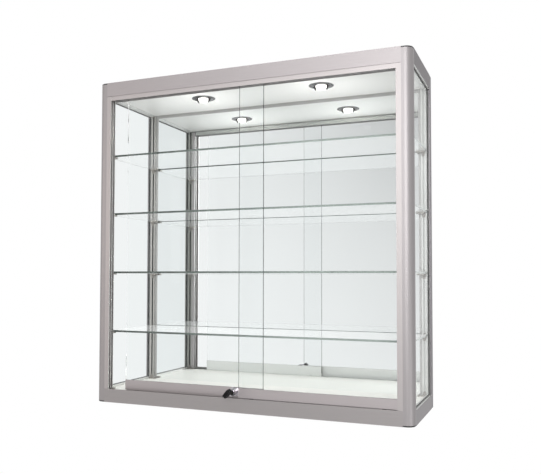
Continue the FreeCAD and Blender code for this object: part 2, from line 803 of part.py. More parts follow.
barrel_bore = BARREL_RADIUS - BARREL_WALL
barrel = barrel_blank.cut(rod("y", barrel_front, barrel_rear, lock_x, lock_z, barrel_bore))
save("lock_barrel", barrel)

plunger_radius = barrel_bore - LOCK_FIT
plunger_front = barrel_front - PLUNGER_PROUD
plunger_rear = plunger_front + PLUNGER_LENGTH
bolt_rear = front + left_door_depth - shoe_half - BOLT_SHORT_OF_SHOE - PLUNGER_STROKE
plunger = fused(
    [
        rod("y", plunger_front, plunger_rear, lock_x, lock_z, plunger_radius),
        rod("y", plunger_rear, bolt_rear, lock_x, lock_z, BOLT_RADIUS),
    ]
)
core_rear = plunger_front + CORE_LENGTH
plunger = plunger.cut(rod("y", plunger_front, core_rear + LOCK_FIT, lock_x, lock_z, CORE_RADIUS + LOCK_FIT))
save("lock_plunger", plunger)


def key_turned(shape):
    """The piece turned to the angle at which the key stands in the lock."""
    return shape.rotate(vec(lock_x, 0.0, lock_z), vec(0.0, 1.0, 0.0), -KEY_TILT)


def blade(width, thickness, low, high):
    half_width = width / 2.0
    half_thickness = thickness / 2.0
    return box(
        lock_x - half_width,
        lock_x + half_width,
        low,
        high,
        lock_z - half_thickness,
        lock_z + half_thickness,
    )


core = rod("y", plunger_front, core_rear, lock_x, lock_z, CORE_RADIUS)
key_tip = plunger_front + KEY_DEPTH
keyway_width = KEY_BLADE_WIDTH + 2.0 * LOCK_FIT
keyway_height = KEY_BLADE_THICKNESS + 2.0 * LOCK_FIT
keyway = blade(keyway_width, keyway_height, plunger_front, key_tip + LOCK_FIT)
save("lock_core", key_turned(core.cut(keyway)))

bow_rear = plunger_front - KEY_NECK
bow_front = bow_rear - KEY_BOW_LENGTH
save("key_blade", key_turned(blade(KEY_BLADE_WIDTH, KEY_BLADE_THICKNESS, bow_rear, key_tip)))
bow = blade(KEY_BOW_WIDTH, KEY_BOW_THICKNESS, bow_front, bow_rear)
bow = rounded_edges(bow, KEY_BOW_CORNER, lambda b: b.ZLength > KEY_BOW_THICKNESS / 2.0)
save("key_bow", key_turned(bow))

keeper_high = lock_x - BOLT_RADIUS - KEEPER_GAP + LEFT_DOOR_AJAR
left_shoe_face = front + left_door_depth - shoe_half
keeper = box(
    keeper_high - KEEPER_LENGTH,
    keeper_high,
    left_shoe_face - KEEPER_THICKNESS,
    left_shoe_face,
    lock_z - KEEPER_HEIGHT / 2.0,
    lock_z + KEEPER_HEIGHT / 2.0,
)
save("lock_keeper", keeper)


def clip(z):
    """Shelf clip on the front right post: foot in the slot, winged plate on the face, arm under the shelf."""
    half_foot = SLOT_CHAMBER / 2.0 - CLIP_GAP
    half_neck = SLOT_MOUTH / 2.0 - CLIP_GAP
    foot_front = post_back - SLOT_DEPTH + CLIP_GAP
    foot_back = post_back - SLOT_LIP - CLIP_GAP
    plate_front = post_back + CLIP_GAP
    plate_back = plate_front + CLIP_PLATE
    foot_high = z + CLIP_RISE
    foot_low = foot_high - CLIP_FOOT
    half_wing = CLIP_WIDTH / 2.0
    half_tip = CLIP_TIP_WIDTH / 2.0
    wings = [
        (slot_x - half_tip, z + CLIP_RISE),
        (slot_x + half_tip, z + CLIP_RISE),
        (slot_x + half_wing, z),
        (slot_x + half_tip, z - CLIP_FALL),
        (slot_x - half_tip, z - CLIP_FALL),
        (slot_x - half_wing, z),
    ]
    arm = box(
        slot_x - CLIP_ARM_LENGTH,
        slot_x + half_tip,
        plate_front,
        plate_back + CLIP_ARM_DEPTH,
        z - CLIP_ARM_THICKNESS,
        z,
    )
    return fused(
        [
            box(slot_x - half_foot, slot_x + half_foot, foot_front, foot_back, foot_low, foot_high),
            box(slot_x - half_neck, slot_x + half_neck, foot_back, plate_back, foot_low, foot_high),
            prism("y", wings, plate_front, plate_back),
            arm,
        ]
    )


def four_corners(piece):
    pair = [piece, rear_of(piece)]
    return pair + [left_of(one) for one in pair]


# Shelves, each on four clips
clip_back = post_back + CLIP_GAP + CLIP_PLATE
shelf_front = max(clip_back, front + track_depth) + SHELF_GAP
shelf_rear = rear_post_front - CLIP_GAP - CLIP_PLATE - SHELF_GAP
shelf_half = side_glass_x - SHELF_SIDE_GAP
for i in range(SHELF_COUNT):
    shelf_low = bottom + SHELF_FIRST + i * SHELF_PITCH
    shelf = box(-shelf_half, shelf_half, shelf_front, shelf_rear, shelf_low, shelf_low + SHELF_THICKNESS)
    save("shelf_%d" % (i + 1), shelf)
    save("shelf_%d_clips" % (i + 1), *four_corners(clip(shelf_low)))

# The same clips, turned over, hold the floor panel down at its corners
turned_clip = base_of(clip(-floor_high))
beside_rail = box(0.0, rail_x - CLIP_GAP, front, 0.0, floor_high, 0.0)
above_floor = beside_rail.fuse(box(0.0, right, front, post_back, floor_high, 0.0))
save("floor_clips", *four_corners(turned_clip.common(above_floor)))

# Downlights: bezel with two claws, frosted lens, housing above the ceiling panel


def bezel(x):
    """Dished ring with two pointed claws, which stand out radially at its left and right."""
    claw_inner = BEZEL_MOUTH - CLAW_ROOT / 2.0
    ring = turned(
        [
            (claw_inner, ceiling_low),
            (BEZEL_RADIUS, ceiling_low),
            (BEZEL_RADIUS, ceiling_low - BEZEL_RIM),
            (BEZEL_MOUTH, ceiling_low - BEZEL_THICKNESS),
            (claw_inner, ceiling_low - BEZEL_RIM),
        ],
        x,
        lamp_y,
    )
    claw_high = ceiling_low - BEZEL_RIM
    claw_low = ceiling_low - CLAW_DROP
    pieces = [ring]
    for side in (-1.0, 1.0):
        outline = [
            (x + side * claw_inner, claw_high),
            (x + side * (claw_inner + CLAW_ROOT), claw_high),
            (x + side * (claw_inner + CLAW_TIP), claw_low),
            (x + side * claw_inner, claw_low),
        ]
        pieces.append(prism("y", outline, lamp_y - CLAW_THICKNESS / 2.0, lamp_y + CLAW_THICKNESS / 2.0))
    return fused(pieces)


def lens(x):
    """A frosted glass cup held between the claws."""
    rim = BEZEL_MOUTH - CLAW_ROOT / 2.0 - LENS_GAP
    low = ceiling_low - LENS_DROP
    cup = rod("z", low, ceiling_low, x, lamp_y, rim)
    return bevelled_edges(cup, LENS_DROP / 2.0, lambda b: b.ZMax < low + LENS_GAP)


def housing(x, inward):
    """Lamp body through the ceiling cut-out, with a terminal towards the driver."""
    high = ceiling_low + HOUSING_HEIGHT
    body = rod("z", ceiling_low, high, x, lamp_y, HOUSING_RADIUS)
    ends = sorted((x, x + inward * (HOUSING_RADIUS + TERMINAL_SIZE / 2.0)))
    half = TERMINAL_SIZE / 2.0
    terminal = box(ends[0], ends[1], lamp_y - half, lamp_y + half, ceiling_high, high)
    return fused([body, terminal])


save("lamp_bezels", bezel(-lamp_x), bezel(lamp_x))
save("lamp_lenses", lens(-lamp_x), lens(lamp_x))
save("lamp_housings", housing(-lamp_x, 1.0), housing(lamp_x, -1.0))

# Driver on the ceiling panel, midway between the lamps, with a foot at each end
driver_half = DRIVER_LENGTH / 2.0
half_driver = DRIVER_WIDTH / 2.0
driver_high = ceiling_high + DRIVER_HEIGHT
driver_front = lamp_y - half_driver
driver_rear = lamp_y + half_driver
driver_case = box(-driver_half, driver_half, driver_front, driver_rear, ceiling_high, driver_high)
driver_case = rounded_edges(driver_case, DRIVER_CORNER, lambda b: b.ZLength > DRIVER_HEIGHT / 2.0)
foot_half = driver_half + DRIVER_FOOT
half_foot_width = half_driver - DRIVER_CORNER
foot = box(
    -foot_half,
    foot_half,
    lamp_y - half_foot_width,
    lamp_y + half_foot_width,
    ceiling_high,
    ceiling_high + DRIVER_FOOT_THICKNESS,
)
save("lamp_driver", fused([driver_case, foot]))


def lead():
    """Low-voltage lead from the driver straight to the right lamp's terminal."""
    lamp_end = lamp_x - HOUSING_RADIUS - TERMINAL_SIZE / 2.0
    return rod("x", driver_half, lamp_end, lamp_y, ceiling_high + LEAD_HEIGHT + LEAD_RADIUS, LEAD_RADIUS)


save("lamp_leads", lead(), left_of(lead()))
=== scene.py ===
import math

import bpy
from mathutils import Euler, Matrix, Vector


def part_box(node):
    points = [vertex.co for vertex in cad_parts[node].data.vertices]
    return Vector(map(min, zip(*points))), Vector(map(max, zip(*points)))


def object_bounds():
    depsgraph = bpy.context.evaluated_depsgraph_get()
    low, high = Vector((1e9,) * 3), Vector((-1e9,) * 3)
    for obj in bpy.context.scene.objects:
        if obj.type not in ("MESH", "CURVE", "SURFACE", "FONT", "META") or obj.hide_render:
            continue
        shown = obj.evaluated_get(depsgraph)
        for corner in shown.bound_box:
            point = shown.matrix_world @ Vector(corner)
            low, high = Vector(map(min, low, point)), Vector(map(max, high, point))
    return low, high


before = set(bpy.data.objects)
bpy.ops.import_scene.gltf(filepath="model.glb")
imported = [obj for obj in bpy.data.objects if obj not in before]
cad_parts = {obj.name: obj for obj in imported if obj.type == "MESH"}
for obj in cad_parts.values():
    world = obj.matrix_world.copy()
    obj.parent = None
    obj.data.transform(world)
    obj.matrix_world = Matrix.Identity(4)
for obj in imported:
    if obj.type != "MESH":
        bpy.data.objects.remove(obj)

cad_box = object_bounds()

# Corner posts: four aluminium extrusions, the front ones round on the outer corner, sawn square at both
# ends. Slots in them take the shelf clips, and angles inside the corners tie the rails to them.
# The satin silver anodised skin gives the eye a soft grey sheen with faint lines along each length.


def linear(hex_colour):
    """An sRGB hex colour as the linear RGBA that shaders take."""
    channels = [int(hex_colour[i:i + 2], 16) / 255 for i in (0, 2, 4)]
    return [c / 12.92 if c <= 0.04045 else ((c + 0.055) / 1.055) ** 2.4 for c in channels] + [1.0]


def fill(node, inputs):
    """Sets a node's inputs, or links those that are given another node's socket."""
    for key, value in inputs.items():
        if isinstance(value, bpy.types.NodeSocket):
            node.id_data.links.new(value, node.inputs[key])
        else:
            node.inputs[key].default_value = value


def add(tree, kind, inputs, **settings):
    """Adds one node with its settings and links."""
    node = tree.nodes.new(kind)
    for key, value in settings.items():
        setattr(node, key, value)
    fill(node, inputs)
    return node


def principled(made):
    """The main shader of a material."""
    return made.node_tree.nodes["Principled BSDF"]


def material(name, **constants):
    """A new material with these constants on its main shader, where _ stands for a space in a name."""
    made = bpy.data.materials.new(name)
    made.use_nodes = True
    fill(principled(made), {key.replace("_", " "): value for key, value in constants.items()})
    return made


def dress(made, *names):
    """Gives a material to the CAD nodes with these names."""
    for name in names:
        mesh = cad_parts[name].data
        mesh.materials.clear()
        mesh.materials.append(made)


MM_PER_M = 1000.0
NOISE_LOW, NOISE_HIGH = 0.3, 0.7  # most of the noise lies between these
BUMP_STRENGTH = 0.4


def mottled(made, tones, grain):
    """A noise, and a colour that wanders with it between two tones.

    The grain is in millimetres, one size for all axes or one each for X, Y and Z."""
    tree = made.node_tree
    sizes = grain if isinstance(grain, tuple) else (grain,) * 3
    place = add(tree, "ShaderNodeTexCoord", {}).outputs["Object"]
    spread = add(tree, "ShaderNodeMapping", {"Vector": place, "Scale": [MM_PER_M / size for size in sizes]})
    noise = add(tree, "ShaderNodeTexNoise", {"Vector": spread.outputs[0], "Scale": 1.0})
    share = add(tree, "ShaderNodeMapRange", {
        "Value": noise.outputs[0], "From Min": NOISE_LOW, "From Max": NOISE_HIGH})
    low, high = tones
    mix = add(tree, "ShaderNodeMix", {
        "Factor": share.outputs[0], "A": linear(low), "B": linear(high)}, data_type="RGBA")
    return noise.outputs[0], mix.outputs["Result"]


def grained(name, tones, grain, roughness, relief, **constants):
    """A material whose colour, roughness and relief, in millimetres, wander with one noise."""
    made = material(name, **constants)
    noise, colour = mottled(made, tones, grain)
    smooth, rough = roughness
    gloss = add(made.node_tree, "ShaderNodeMapRange", {"Value": noise, "To Min": smooth, "To Max": rough})
    bump = add(made.node_tree, "ShaderNodeBump", {
        "Height": noise, "Strength": BUMP_STRENGTH, "Distance": relief / MM_PER_M})
    fill(principled(made), {"Base Color": colour, "Roughness": gloss.outputs[0], "Normal": bump.outputs[0]})
    return made


def overlay(made, mask, hex_colour):
    """Lays a second colour over a material's own where the mask is one."""
    under = principled(made).inputs["Base Color"].links[0].from_socket
    mix = add(made.node_tree, "ShaderNodeMix", {
        "Factor": mask, "A": under, "B": linear(hex_colour)}, data_type="RGBA")
    fill(principled(made), {"Base Color": mix.outputs["Result"]})


PLACE = ("ShaderNodeTexCoord", "Object")
FACING = ("ShaderNodeNewGeometry", "True Normal")
LOOKS_ALONG = 0.5  # a face looks along an axis where its normal has more than this on it


def axis_part(made, source, axis):
    """One axis of where a point lies, in metres, or of which way its face looks."""
    kind, output = source
    vector = add(made.node_tree, kind, {}).outputs[output]
    return add(made.node_tree, "ShaderNodeSeparateXYZ", {0: vector}).outputs[axis]


def past(made, source, axis, limit, both_sides=False):
    """A mask that is one past a limit on an axis, or past it on both sides of the middle."""
    value = axis_part(made, source, axis)
    if both_sides:
        value = add(made.node_tree, "ShaderNodeMath", {0: value}, operation="ABSOLUTE").outputs[0]
    return add(made.node_tree, "ShaderNodeMath", {0: value, 1: limit}, operation="GREATER_THAN").outputs[0]


LINE_LENGTH, LINE_WIDTH = 80.0, 0.35  # mm, the lines that the die draws along an extrusion
METALLIC = 0.8


def drawn_aluminium(pieces, along, tones):
    """Satin anodised aluminium, die lines along one axis; each group's tones are painted light and shade."""
    lines = tuple(LINE_LENGTH if axis == along else LINE_WIDTH for axis in "XYZ")
    return grained(
        "satin_anodised_aluminium_" + pieces, tones, lines, (0.46, 0.54), relief=0.02, Metallic=METALLIC)


def paint_back_face_light(made, hex_colour, matt=False):
    """Paints light and shade on the faces that look back into the case; matt ones also lose the sheen of
    metal.
    """
    backward = past(made, FACING, "Y", LOOKS_ALONG)
    overlay(made, backward, hex_colour)
    if matt:
        sheen = add(made.node_tree, "ShaderNodeMath", {
            0: backward, 1: -METALLIC, 2: METALLIC}, operation="MULTIPLY_ADD")
        fill(principled(made), {"Metallic": sheen.outputs[0]})


LOOKS_TO_MIDDLE = -0.2  # m, place times normal on X is under this where a side piece faces the middle


def paint_middle_face_light(made):
    """Paints light on the faces of a side piece that look to the middle of the case, making them paler."""
    turned = add(made.node_tree, "ShaderNodeMath", {
        0: axis_part(made, FACING, "X"), 1: axis_part(made, PLACE, "X")}, operation="MULTIPLY")
    inner = add(made.node_tree, "ShaderNodeMath", {
        0: turned.outputs[0], 1: LOOKS_TO_MIDDLE}, operation="LESS_THAN")
    overlay(made, inner.outputs[0], "DCDCDA")


post_low, post_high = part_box("front_right_post")
half_width, half_depth = post_high[0], -post_low[1] / 2
SLOT_FROM_SIDE, SLOT_HALF_WIDTH = 0.023, 0.0046  # m, as every size is that isn't said to be in mm
SLOT_FROM_FRONT, SLOT_HALF_DEPTH = 0.0263, 0.0034


def dark_slots(made):
    """Darkens the inside of the slots, where little light comes."""
    slot = 1.0
    for axis, to_middle, from_middle, reach in (
        ("X", 0.0, half_width - SLOT_FROM_SIDE, SLOT_HALF_WIDTH),
        ("Y", half_depth, half_depth - SLOT_FROM_FRONT, SLOT_HALF_DEPTH),
    ):
        away = add(made.node_tree, "ShaderNodeMath", {
            0: axis_part(made, PLACE, axis), 1: to_middle}, operation="ADD")
        away = add(made.node_tree, "ShaderNodeMath", {0: away.outputs[0]}, operation="ABSOLUTE")
        near = add(made.node_tree, "ShaderNodeMath", {
            0: away.outputs[0], 1: from_middle, 2: reach}, operation="COMPARE")
        slot = add(made.node_tree, "ShaderNodeMath", {
            0: slot, 1: near.outputs[0]}, operation="MULTIPLY").outputs[0]
    overlay(made, slot, "454444")


front_posts = drawn_aluminium("front_posts", "Z", ("938F90", "999596"))
dress(front_posts, "front_left_post", "front_right_post")
# Painted light on the faces that look back and to the middle, painted shade in the slots.
paint_back_face_light(front_posts, "92928D")
paint_middle_face_light(front_posts)
dark_slots(front_posts)

# Painted light makes the right rear post paler than the left one; both have painted shade on an outer lip.
SHADED_OUTER_LIP = 0.0065
rear_posts = drawn_aluminium("rear_posts", "Z", ("AFAEAB", "B6B5B2"))
dress(rear_posts, "rear_left_post", "rear_right_post")
dark_slots(rear_posts)
overlay(rear_posts, past(rear_posts, PLACE, "X", 0.0), "D4D5D3")
overlay(rear_posts, past(rear_posts, PLACE, "X", half_width - SHADED_OUTER_LIP, both_sides=True), "7F7C7F")

# End caps: plastic plugs, pressed into the sawn ends of the posts.
# Moulding leaves them near black with a soft gloss.
black_plastic = grained(
    "black_moulded_plastic", ("141414", "1C1B1B"), grain=0.6, roughness=(0.38, 0.5), relief=0.03)
dress(black_plastic, "post_end_caps")

# Rails: aluminium extrusions sawn square, which close the frame between the posts at top and base.
# They have the posts' anodised skin, with painted light in other tones on the faces that look into the case.
top_front = drawn_aluminium("top_front_rail", "X", ("9B9697", "A19C9D"))
dress(top_front, "top_front_rail")
paint_back_face_light(top_front, "A6A7A4", matt=True)

base_rails = drawn_aluminium("base_rails", "X", ("949090", "9A9696"))
dress(base_rails, "base_front_rail", "base_rear_rail")
paint_back_face_light(base_rails, "A6A7A4")

inside_rails = drawn_aluminium("inside_rails", "X", ("A9A8A7", "B1B0AF"))
dress(inside_rails, "top_rear_rail")

# Painted shade makes the top side rails darker than the base ones; faces up, down or inward get painted
# light.
for level, tones in (("top", ("706C6E", "767274")), ("base", ("8A8688", "908C8E"))):
    side_rails = drawn_aluminium(level + "_side_rails", "Y", tones)
    dress(side_rails, "left_%s_rail" % level, "right_%s_rail" % level)
    paint_middle_face_light(side_rails)
    overlay(side_rails, past(side_rails, FACING, "Z", LOOKS_ALONG, both_sides=True), "DADAD8")

# Corner angles: bent steel, screwed to posts and rails where the canopy and the base hide them.
# Zinc plating gives a bright bluish grey with uneven reflections.
plated_steel = grained(
    "zinc_plated_steel", ("8E9092", "A6A7A8"), grain=4.0, roughness=(0.25, 0.4), relief=0.02, Metallic=1.0)
dress(plated_steel, "corner_angles")

# Jambs and tracks: aluminium extrusions between the front posts that the doors close into and run on.
# They have the posts' anodised skin, and painted shade marks the gap of the joint at the top of each jamb.
JAMB_JOINT_SHADE = 0.0012
jambs = drawn_aluminium("jambs", "Z", ("A39E9E", "A9A4A4"))
dress(jambs, "left_jamb", "right_jamb")
paint_middle_face_light(jambs)
overlay(jambs, past(jambs, PLACE, "Z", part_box("left_jamb")[1][2] - JAMB_JOINT_SHADE), "5A5657")

top_track = drawn_aluminium("top_track", "X", ("A6A1A1", "ACA7A7"))
dress(top_track, "top_track")
# Painted light on the track's faces that look back into the case.
paint_back_face_light(top_track, "A6A7A4", matt=True)
dress(base_rails, "base_track")

# The liners of the top track and the strips in the jambs are slip plastic, a mid grey with a soft gloss.
slip_plastic = grained(
    "grey_slip_plastic", ("8A8988", "929190"), grain=0.6, roughness=(0.4, 0.5), relief=0.03)
dress(slip_plastic, "track_liners")

# Top cover and back board: a sheet that drops in behind the rails' lip, with a grommet for the mains
# cord, and a board behind the mirror. Paint gives the sheet an even, half matt grey, the board is a
# matt brown with upright fibres, and the rubber grommet is a dull black.
painted_sheet = grained(
    "grey_painted_sheet", ("C9C9C7", "CFCFCD"), grain=2.0, roughness=(0.45, 0.55), relief=0.03)
dress(painted_sheet, "top_cover")
hardboard = grained(
    "hardboard", ("7A6046", "8C7052"), grain=(1.5, 1.5, 6.0), roughness=(0.7, 0.85), relief=0.1)
dress(hardboard, "back_board")
black_rubber = grained(
    "black_rubber", ("1A1A1A", "242322"), grain=1.0, roughness=(0.6, 0.75), relief=0.05)
dress(black_rubber, "cable_grommet")

# Side glass: sheets of float glass, bedded in the posts and rails.
# The faces show almost nothing, and the ground edges show the green of the iron in the glass.
EDGE_GRAIN = 3.0  # mm
EDGE_ROUGHNESS = 0.25


def float_glass(name, thin_axis, clear, edge_tones, density=0.6, polished_to=None, **constants):
    """Glass with clear faces across its thin axis and dense edges; gives it and a mask of the edges.

    Where polished_to is given, edges to the left of that place are as clear as the faces."""
    made = material(name, **constants)
    tree = made.node_tree
    flat = past(made, FACING, thin_axis, LOOKS_ALONG, both_sides=True)
    edge = add(tree, "ShaderNodeMath", {0: 1.0, 1: flat}, operation="SUBTRACT").outputs[0]
    if polished_to is not None:
        ground = past(made, PLACE, "X", polished_to)
        edge = add(tree, "ShaderNodeMath", {0: edge, 1: ground}, operation="MULTIPLY").outputs[0]
    _, edge_colour = mottled(made, edge_tones, EDGE_GRAIN)
    tint = add(tree, "ShaderNodeMix", {
        "Factor": edge, "A": linear(clear), "B": edge_colour}, data_type="RGBA").outputs["Result"]
    passed = add(tree, "ShaderNodeMath", {0: edge, 1: -density, 2: 1.0}, operation="MULTIPLY_ADD")
    rough = add(tree, "ShaderNodeMath", {0: edge, 1: EDGE_ROUGHNESS}, operation="MULTIPLY")
    fill(principled(made), {
        "Base Color": tint, "Transmission Weight": passed.outputs[0], "Roughness": rough.outputs[0]})
    # Light from the lamps goes straight through, so the panes throw no dark shadows into the case.
    through = add(tree, "ShaderNodeBsdfTransparent", {"Color": tint})
    shadow = add(tree, "ShaderNodeLightPath", {}).outputs["Is Shadow Ray"]
    blend = add(tree, "ShaderNodeMixShader", {
        0: shadow, 1: principled(made).outputs[0], 2: through.outputs[0]})
    fill(tree.nodes["Material Output"], {"Surface": blend.outputs[0]})
    return made, edge


# Painted shade: the left pane's clear tone is greyer than the right's.
for name, clear in (("left_side_glass", "F1F4F4"), ("right_side_glass", "FBFCFC")):
    side_glass, _ = float_glass("clear_float_" + name, "X", clear, ("52605B", "707D78"), IOR=1.04)
    dress(side_glass, name)

# Gaskets: extruded rubber strips that bed the side glass in its grooves.
# The rubber is a matt grey, painted a little paler on the level runs at top and base as painted light.
LIT_LEVEL_RUN = 0.010
glazing_rubber = grained(
    "glazing_rubber", ("747373", "7E7D7C"), grain=1.0, roughness=(0.6, 0.75), relief=0.05)
dress(glazing_rubber, "side_gaskets")
run_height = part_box("side_gaskets")[1][2] - LIT_LEVEL_RUN
overlay(glazing_rubber, past(glazing_rubber, PLACE, "Z", run_height, both_sides=True), "8A8989")

# Mirror: silvered glass that fills the back, held in a thin aluminium channel.
# The silver gives sharp reflections that lose almost nothing.
mirror = material("silvered_mirror", Metallic=1.0, Roughness=0.005)
_, silver = mottled(mirror, ("F7F9F9", "F9FBFB"), grain=250.0)
fill(principled(mirror), {"Base Color": silver})
dress(mirror, "mirror")
dress(inside_rails, "mirror_channels")

# Ceiling and floor panels: boards cut to fit between the posts, with the lamps set in the ceiling.
# Their white film has a fine pearl texture, which gives them a soft sheen.
# Painted shade: the ceiling's tones are darker than the floor's.
for name, tones in (("floor_panel", ("ECEAE5", "EFEDE8")), ("ceiling_panel", ("D7D6D3", "DBDAD7"))):
    board = grained("white_faced_board_" + name, tones, grain=1.2, roughness=(0.4, 0.5), relief=0.04)
    dress(board, name)

# The ceiling, which is the last board, glows a little round each of the two lamps: painted light.
PAINTED_GLOW_REACH, PAINTED_GLOW_STRENGTH = 0.31, 0.29
lens_low, lens_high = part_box("lamp_lenses")
lens_radius = (lens_high[1] - lens_low[1]) / 2
spot = add(board.node_tree, "ShaderNodeTexCoord", {}).outputs["Object"]
painted_glow_total = 0.0
for lamp_x in (lens_low[0] + lens_radius, lens_high[0] - lens_radius):
    lamp = (lamp_x, lens_low[1] + lens_radius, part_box("ceiling_panel")[0][2])
    away = add(board.node_tree, "ShaderNodeVectorMath", {0: spot, 1: lamp}, operation="DISTANCE")
    glow = add(board.node_tree, "ShaderNodeMapRange", {
        "Value": away.outputs["Value"], "From Max": PAINTED_GLOW_REACH, "To Min": PAINTED_GLOW_STRENGTH, "To Max": 0.0},
        interpolation_type="SMOOTHSTEP")
    painted_glow_total = add(board.node_tree, "ShaderNodeMath", {
        0: painted_glow_total, 1: glow.outputs[0]}, operation="ADD").outputs[0]
fill(principled(board), {"Emission Strength": painted_glow_total})

# Sliding doors: frameless float glass, each sheet standing in an aluminium shoe on two rollers.
# The left door's left edge is polished clear, and painted shade makes the ends that face right almost black.
POLISHED_BAND = 0.002
door_glass, _ = float_glass(
    "clear_float_glass_doors", "Y", "FCFDFD", ("343D39", "464F4B"), density=0.85,
    polished_to=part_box("left_door_glass")[0][0] + POLISHED_BAND, IOR=1.2)
dress(door_glass, "left_door_glass", "right_door_glass")
overlay(door_glass, past(door_glass, FACING, "X", LOOKS_ALONG), "161B19")

# The shoes have the frame's anodised skin, and the axles have the corner angles' zinc.
# The rollers are turned from nylon, a half matt dark grey.
shoes = drawn_aluminium("door_shoes", "X", ("A39D9E", "A9A3A4"))
# Painted light: the shoes' faces that look back into the case are near white and matt.
paint_back_face_light(shoes, "F6F6F4", matt=True)
grey_nylon = grained("grey_nylon", ("4A4948", "545352"), grain=2.0, roughness=(0.35, 0.45), relief=0.03)
for door in ("left_door", "right_door"):
    dress(shoes, door + "_shoe")
    dress(plated_steel, door + "_axles")
    dress(grey_nylon, door + "_left_roller", door + "_right_roller")

# Lock: a push lock on the free end of the outer door's shoe, with its key in it. Chrome gives the
# barrel, the plunger and the bracket clear reflections, nickel silver gives the core and the blade a
# warm, half bright grey, and the key's moulded bow is black with hardly a highlight.
chrome = grained(
    "bright_chrome", ("B6B2B6", "BEBABE"), grain=3.0, roughness=(0.12, 0.2), relief=0.01, Metallic=1.0)
dress(chrome, "lock_barrel", "lock_plunger", "lock_bracket")
nickel_silver = grained(
    "nickel_silver", ("A9A59B", "B7B3A9"), grain=2.0, roughness=(0.2, 0.3), relief=0.02, Metallic=1.0)
dress(nickel_silver, "lock_core", "key_blade")
key_plastic = grained(
    "black_key_plastic", ("070608", "0C0B0D"), grain=0.8, roughness=(0.45, 0.55), relief=0.02,
    Specular_IOR_Level=0.15)
dress(key_plastic, "key_bow")
dress(plated_steel, "lock_keeper")

# Shelves: loose sheets of float glass, each lying on four clips that stay in the posts' slots.
# The edges are dark at the left, and painted light makes them paler along X from DARK_TO to PALE_FROM.
# The clips are moulded in a grey with metal flake, which gives them a weak shine.
DARK_TO, PALE_FROM = -0.25, 0.15
shelf_glass, shelf_edge = float_glass(
    "clear_float_glass_shelves", "Z", "FDFEFE", ("38413D", "4E5853"), IOR=1.5, Sheen_Weight=0.3)
edge_light_share = add(shelf_glass.node_tree, "ShaderNodeMapRange", {
    "Value": axis_part(shelf_glass, PLACE, "X"), "From Min": DARK_TO, "From Max": PALE_FROM})
painted_edge_light = add(shelf_glass.node_tree, "ShaderNodeMath", {
    0: shelf_edge, 1: edge_light_share.outputs[0]}, operation="MULTIPLY")
overlay(shelf_glass, painted_edge_light.outputs[0], "8B9590")
clip_plastic = grained(
    "grey_clip_plastic", ("837F7A", "918D88"), grain=1.5, roughness=(0.5, 0.6), relief=0.03, Metallic=0.3)
dress(clip_plastic, "floor_clips")
for shelf in ("shelf_1", "shelf_2", "shelf_3", "shelf_4"):
    dress(shelf_glass, shelf)
    dress(clip_plastic, shelf + "_clips")

# Downlights: a chrome ring with two claws round a frosted lens, set in the ceiling panel.
# Satin chrome gives the ring blurred dark reflections. The lens is lit by the lamp behind it, and
# shows as plain white in metal and mirror, which keeps bright specks out of them.
LENS_LIGHT, LENS_MIRRORED = 200.0, 2.0
satin_chrome = grained(
    "satin_chrome", ("686667", "767475"), grain=3.0, roughness=(0.2, 0.3), relief=0.01, Metallic=1.0)
dress(satin_chrome, "lamp_bezels")
lens = material("frosted_lens", Roughness=0.4)
mirrored_ray = add(lens.node_tree, "ShaderNodeLightPath", {}).outputs["Is Glossy Ray"]
lens_light = add(lens.node_tree, "ShaderNodeMapRange", {
    "Value": mirrored_ray, "To Min": LENS_LIGHT, "To Max": LENS_MIRRORED})
_, frost = mottled(lens, ("FFFAF0", "FFFFFC"), grain=2.0)
fill(principled(lens), {
    "Base Color": frost, "Emission Color": frost, "Emission Strength": lens_light.outputs[0]})
dress(lens, "lamp_lenses")

# In the canopy, the housings are die-cast with a dull metal skin, the driver is white moulded plastic
# with a soft gloss, and the leads have a black plastic sheath.
housing = grained(
    "die_cast_housing", ("A8A8A8", "B4B4B4"), grain=2.0, roughness=(0.45, 0.6), relief=0.05, Metallic=0.6)
dress(housing, "lamp_housings")
white_plastic = grained(
    "white_moulded_plastic", ("E4E4E2", "EAEAE8"), grain=1.0, roughness=(0.4, 0.5), relief=0.03)
dress(white_plastic, "lamp_driver")
dress(black_plastic, "lamp_leads")

# Studio floor: a plain painted floor well below the case, because the case hangs at some height.
# It looks almost white to the camera, in mirrors and through glass, and keeps some of the shadow.
FLOOR_BELOW, FLOOR_HALF_WIDTH = 0.85, 2.5
FLOOR_FRONT, FLOOR_BACK = -4.0, 0.6
FLOOR_WHITE = 0.92


def seen_ray(tree):
    """One for the rays that show the room: straight to the camera, mirrored, or through glass."""
    path = add(tree, "ShaderNodeLightPath", {})
    seen = path.outputs["Is Camera Ray"]
    for ray in ("Is Glossy Ray", "Is Transmission Ray"):
        seen = add(tree, "ShaderNodeMath", {0: seen, 1: path.outputs[ray]}, operation="MAXIMUM").outputs[0]
    return seen


floor_z = cad_box[0][2] - FLOOR_BELOW
corners = [
    (-FLOOR_HALF_WIDTH, FLOOR_FRONT, floor_z), (FLOOR_HALF_WIDTH, FLOOR_FRONT, floor_z),
    (FLOOR_HALF_WIDTH, FLOOR_BACK, floor_z), (-FLOOR_HALF_WIDTH, FLOOR_BACK, floor_z)]
floor_mesh = bpy.data.meshes.new("floor")
floor_mesh.from_pydata(corners, [], [(0, 1, 2, 3)])
floor = bpy.data.objects.new("floor", floor_mesh)
bpy.context.scene.collection.objects.link(floor)
floor_paint = grained("pale_floor", ("EDEDEB", "F0F0EE"), grain=400.0, roughness=(0.6, 0.7), relief=0.1)
floor_mesh.materials.append(floor_paint)
tree = floor_paint.node_tree
white = add(tree, "ShaderNodeEmission", {"Strength": 1.0})
white_share = add(tree, "ShaderNodeMath", {0: seen_ray(tree), 1: FLOOR_WHITE}, operation="MULTIPLY")
